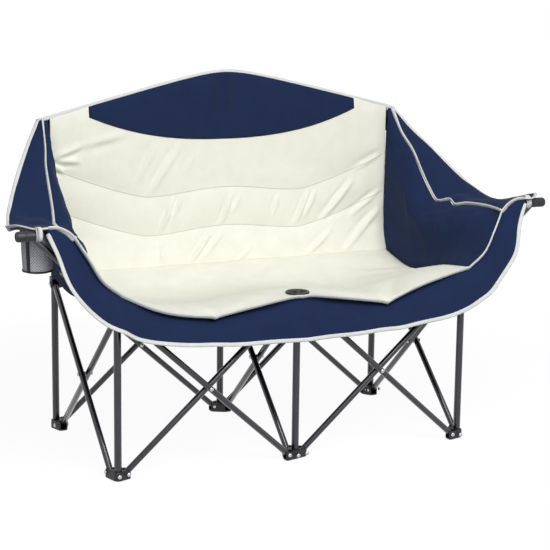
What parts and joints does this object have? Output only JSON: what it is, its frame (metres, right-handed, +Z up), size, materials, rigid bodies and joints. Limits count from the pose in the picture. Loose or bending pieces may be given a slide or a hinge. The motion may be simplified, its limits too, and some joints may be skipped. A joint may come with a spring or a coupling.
{
  "type": "folding camping loveseat",
  "caption": "Two-seat folding camp chair with padded bucket seat, winged arms and cup holder on a scissor frame of steel tubes with moulded feet and hubs.",
  "frame": {"origin": "on the ground under the middle of the opened chair's box", "axes": "+Z up, -Y is the way the sitters face, +X to the right of someone looking at the front"},
  "size_m": [1.4976, 0.6106, 0.9749],
  "materials": {
    "steel_tube": "satin powder coat",
    "moulded_joint": "moulded, fine grain",
    "rivet_steel": "plated",
    "cream_canvas": "padded woven polyester",
    "navy_canvas": "woven polyester",
    "binding_tape": "woven edge tape",
    "cup_net": "knitted net"
  },
  "bodies": {
    "rear_middle": {"rear_middle_post": "steel_tube", "rear_middle_foot": "moulded_joint", "middle_post_pocket": "navy_canvas", "backrest_pad": "cream_canvas", "back_yoke": "navy_canvas", "seat_pad": "cream_canvas", "upper_binding": "binding_tape"},
    "rear_left": {"rear_left_post": "steel_tube", "rear_left_foot": "moulded_joint", "left_post_pocket": "navy_canvas", "left_side_panel": "navy_canvas", "left_arm_wing": "navy_canvas", "cup_holder": "cup_net"},
    "rear_right": {"rear_right_post": "steel_tube", "rear_right_foot": "moulded_joint", "right_post_pocket": "navy_canvas", "right_side_panel": "navy_canvas", "right_arm_wing": "navy_canvas"},
    "front_middle": {"front_middle_upright": "steel_tube", "front_middle_foot": "moulded_joint", "front_skirt": "navy_canvas", "skirt_binding": "binding_tape", "front_piping": "binding_tape"},
    "front_left": {"front_left_upright": "steel_tube", "front_left_foot": "moulded_joint"},
    "front_right": {"front_right_upright": "steel_tube", "front_right_foot": "moulded_joint"},
    "front_left_hub": {"front_left_hub": "moulded_joint", "front_left_stem": "steel_tube"},
    "rear_left_hub": {"rear_left_hub": "moulded_joint"},
    "front_middle_hub": {"front_middle_hub": "moulded_joint", "front_middle_stem": "steel_tube", "seat_button": "moulded_joint"},
    "rear_middle_hub": {"rear_middle_hub": "moulded_joint"},
    "front_right_hub": {"front_right_hub": "moulded_joint", "front_right_stem": "steel_tube"},
    "rear_right_hub": {"rear_right_hub": "moulded_joint"},
    "front_left_arm_bar": {"front_left_arm_bar": "steel_tube", "front_left_cross_rivet": "rivet_steel", "left_arm_cap": "moulded_joint"},
    "front_left_back_bar": {"front_left_back_bar": "steel_tube"},
    "front_right_arm_bar": {"front_right_arm_bar": "steel_tube", "front_right_cross_rivet": "rivet_steel", "right_arm_cap": "moulded_joint"},
    "front_right_back_bar": {"front_right_back_bar": "steel_tube"},
    "rear_left_out_bar": {"rear_left_out_bar": "steel_tube", "rear_left_cross_rivet": "rivet_steel"},
    "rear_left_back_bar": {"rear_left_back_bar": "steel_tube"},
    "rear_right_out_bar": {"rear_right_out_bar": "steel_tube", "rear_right_cross_rivet": "rivet_steel"},
    "rear_right_back_bar": {"rear_right_back_bar": "steel_tube"},
    "left_side_out_bar": {"left_side_out_bar": "steel_tube"},
    "left_side_back_bar": {"left_side_back_bar": "steel_tube", "left_side_cross_rivet": "rivet_steel"},
    "middle_side_out_bar": {"middle_side_out_bar": "steel_tube"},
    "middle_side_back_bar": {"middle_side_back_bar": "steel_tube", "middle_side_cross_rivet": "rivet_steel"},
    "right_side_out_bar": {"right_side_out_bar": "steel_tube"},
    "right_side_back_bar": {"right_side_back_bar": "steel_tube", "right_side_cross_rivet": "rivet_steel"}
  },
  "joints": [
    {"name": "fold", "type": "hinge", "parent": "rear_middle", "child": "middle_side_back_bar", "pos_m": [0, 0.25278, 0.0155], "axis": [-1, 0, 0], "range_deg": [0, 45], "deforming": ["backrest_pad", "back_yoke", "seat_pad", "upper_binding", "left_side_panel", "right_side_panel", "left_arm_wing", "right_arm_wing", "cup_holder", "front_skirt", "skirt_binding", "front_piping"]},
    {"name": "middle_side_cross_pivot", "type": "hinge", "parent": "middle_side_back_bar", "child": "middle_side_out_bar", "pos_m": [0, 0.03228, 0.2145], "axis": [-1, 0, 0], "range_deg": [-90, 0]},
    {"name": "middle_side_far_foot_pivot", "type": "hinge", "parent": "middle_side_out_bar", "child": "front_middle", "pos_m": [0, -0.18822, 0.0155], "axis": [-1, 0, 0], "range_deg": [0, 45]},
    {"name": "middle_side_near_hub_pivot", "type": "hinge", "parent": "middle_side_out_bar", "child": "rear_middle_hub", "pos_m": [0, 0.25278, 0.4135], "axis": [-1, 0, 0], "range_deg": [0, 45]},
    {"name": "middle_side_far_hub_pivot", "type": "hinge", "parent": "middle_side_back_bar", "child": "front_middle_hub", "pos_m": [0, -0.18822, 0.4135], "axis": [-1, 0, 0], "range_deg": [-45, 0]},
    {"name": "rear_left_foot_pivot", "type": "hinge", "parent": "rear_middle", "child": "rear_left_out_bar", "pos_m": [-0.0245, 0.28228, 0.0155], "axis": [0, 1, 0], "range_deg": [0, 45]},
    {"name": "rear_left_cross_pivot", "type": "hinge", "parent": "rear_left_out_bar", "child": "rear_left_back_bar", "pos_m": [-0.245, 0.28228, 0.2145], "axis": [0, 1, 0], "range_deg": [-90, 0]},
    {"name": "rear_left_far_foot_pivot", "type": "hinge", "parent": "rear_left_back_bar", "child": "rear_left", "pos_m": [-0.4655, 0.28228, 0.0155], "axis": [0, 1, 0], "range_deg": [0, 45]},
    {"name": "rear_left_far_hub_pivot", "type": "hinge", "parent": "rear_left_out_bar", "child": "rear_left_hub", "pos_m": [-0.4655, 0.28228, 0.4135], "axis": [0, 1, 0], "range_deg": [-45, 0]},
    {"name": "left_side_foot_pivot", "type": "hinge", "parent": "rear_left", "child": "left_side_back_bar", "pos_m": [-0.49, 0.25278, 0.0155], "axis": [-1, 0, 0], "range_deg": [0, 45]},
    {"name": "left_side_cross_pivot", "type": "hinge", "parent": "left_side_back_bar", "child": "left_side_out_bar", "pos_m": [-0.49, 0.03228, 0.2145], "axis": [-1, 0, 0], "range_deg": [-90, 0]},
    {"name": "left_side_far_foot_pivot", "type": "hinge", "parent": "left_side_out_bar", "child": "front_left", "pos_m": [-0.49, -0.18822, 0.0155], "axis": [-1, 0, 0], "range_deg": [0, 45]},
    {"name": "left_side_far_hub_pivot", "type": "hinge", "parent": "left_side_back_bar", "child": "front_left_hub", "pos_m": [-0.49, -0.18822, 0.4135], "axis": [-1, 0, 0], "range_deg": [-45, 0]},
    {"name": "front_left_foot_pivot", "type": "hinge", "parent": "front_middle", "child": "front_left_arm_bar", "pos_m": [-0.0245, -0.21772, 0.0155], "axis": [0, 1, 0], "range_deg": [0, 45]},
    {"name": "front_left_cross_pivot", "type": "hinge", "parent": "front_left_arm_bar", "child": "front_left_back_bar", "pos_m": [-0.245, -0.21772, 0.2145], "axis": [0, 1, 0], "range_deg": [-90, 0]},
    {"name": "rear_right_foot_pivot", "type": "hinge", "parent": "rear_middle", "child": "rear_right_out_bar", "pos_m": [0.0245, 0.28228, 0.0155], "axis": [0, -1, 0], "range_deg": [0, 45]},
    {"name": "rear_right_cross_pivot", "type": "hinge", "parent": "rear_right_out_bar", "child": "rear_right_back_bar", "pos_m": [0.245, 0.28228, 0.2145], "axis": [0, -1, 0], "range_deg": [-90, 0]},
    {"name": "rear_right_far_foot_pivot", "type": "hinge", "parent": "rear_right_back_bar", "child": "rear_right", "pos_m": [0.4655, 0.28228, 0.0155], "axis": [0, -1, 0], "range_deg": [0, 45]},
    {"name": "rear_right_far_hub_pivot", "type": "hinge", "parent": "rear_right_out_bar", "child": "rear_right_hub", "pos_m": [0.4655, 0.28228, 0.4135], "axis": [0, -1, 0], "range_deg": [-45, 0]},
    {"name": "right_side_foot_pivot", "type": "hinge", "parent": "rear_right", "child": "right_side_back_bar", "pos_m": [0.49, 0.25278, 0.0155], "axis": [-1, 0, 0], "range_deg": [0, 45]},
    {"name": "right_side_cross_pivot", "type": "hinge", "parent": "right_side_back_bar", "child": "right_side_out_bar", "pos_m": [0.49, 0.03228, 0.2145], "axis": [-1, 0, 0], "range_deg": [-90, 0]},
    {"name": "right_side_far_foot_pivot", "type": "hinge", "parent": "right_side_out_bar", "child": "front_right", "pos_m": [0.49, -0.18822, 0.0155], "axis": [-1, 0, 0], "range_deg": [0, 45]},
    {"name": "right_side_far_hub_pivot", "type": "hinge", "parent": "right_side_back_bar", "child": "front_right_hub", "pos_m": [0.49, -0.18822, 0.4135], "axis": [-1, 0, 0], "range_deg": [-45, 0]},
    {"name": "front_right_foot_pivot", "type": "hinge", "parent": "front_middle", "child": "front_right_arm_bar", "pos_m": [0.0245, -0.21772, 0.0155], "axis": [0, -1, 0], "range_deg": [0, 45]},
    {"name": "front_right_cross_pivot", "type": "hinge", "parent": "front_right_arm_bar", "child": "front_right_back_bar", "pos_m": [0.245, -0.21772, 0.2145], "axis": [0, -1, 0], "range_deg": [-90, 0]}
  ],
  "couplings": [
    {"joint": "middle_side_cross_pivot", "follows": "fold", "ratio": -2},
    {"joint": "middle_side_far_foot_pivot", "follows": "fold", "ratio": 1},
    {"joint": "middle_side_near_hub_pivot", "follows": "fold", "ratio": 1},
    {"joint": "middle_side_far_hub_pivot", "follows": "fold", "ratio": -1},
    {"joint": "rear_left_foot_pivot", "follows": "fold", "ratio": 1},
    {"joint": "rear_left_cross_pivot", "follows": "fold", "ratio": -2},
    {"joint": "rear_left_far_foot_pivot", "follows": "fold", "ratio": 1},
    {"joint": "rear_left_far_hub_pivot", "follows": "fold", "ratio": -1},
    {"joint": "left_side_foot_pivot", "follows": "fold", "ratio": 1},
    {"joint": "left_side_cross_pivot", "follows": "fold", "ratio": -2},
    {"joint": "left_side_far_foot_pivot", "follows": "fold", "ratio": 1},
    {"joint": "left_side_far_hub_pivot", "follows": "fold", "ratio": -1},
    {"joint": "front_left_foot_pivot", "follows": "fold", "ratio": 1},
    {"joint": "front_left_cross_pivot", "follows": "fold", "ratio": -2},
    {"joint": "rear_right_foot_pivot", "follows": "fold", "ratio": 1},
    {"joint": "rear_right_cross_pivot", "follows": "fold", "ratio": -2},
    {"joint": "rear_right_far_foot_pivot", "follows": "fold", "ratio": 1},
    {"joint": "rear_right_far_hub_pivot", "follows": "fold", "ratio": -1},
    {"joint": "right_side_foot_pivot", "follows": "fold", "ratio": 1},
    {"joint": "right_side_cross_pivot", "follows": "fold", "ratio": -2},
    {"joint": "right_side_far_foot_pivot", "follows": "fold", "ratio": 1},
    {"joint": "right_side_far_hub_pivot", "follows": "fold", "ratio": -1},
    {"joint": "front_right_foot_pivot", "follows": "fold", "ratio": 1},
    {"joint": "front_right_cross_pivot", "follows": "fold", "ratio": -2}
  ]
}
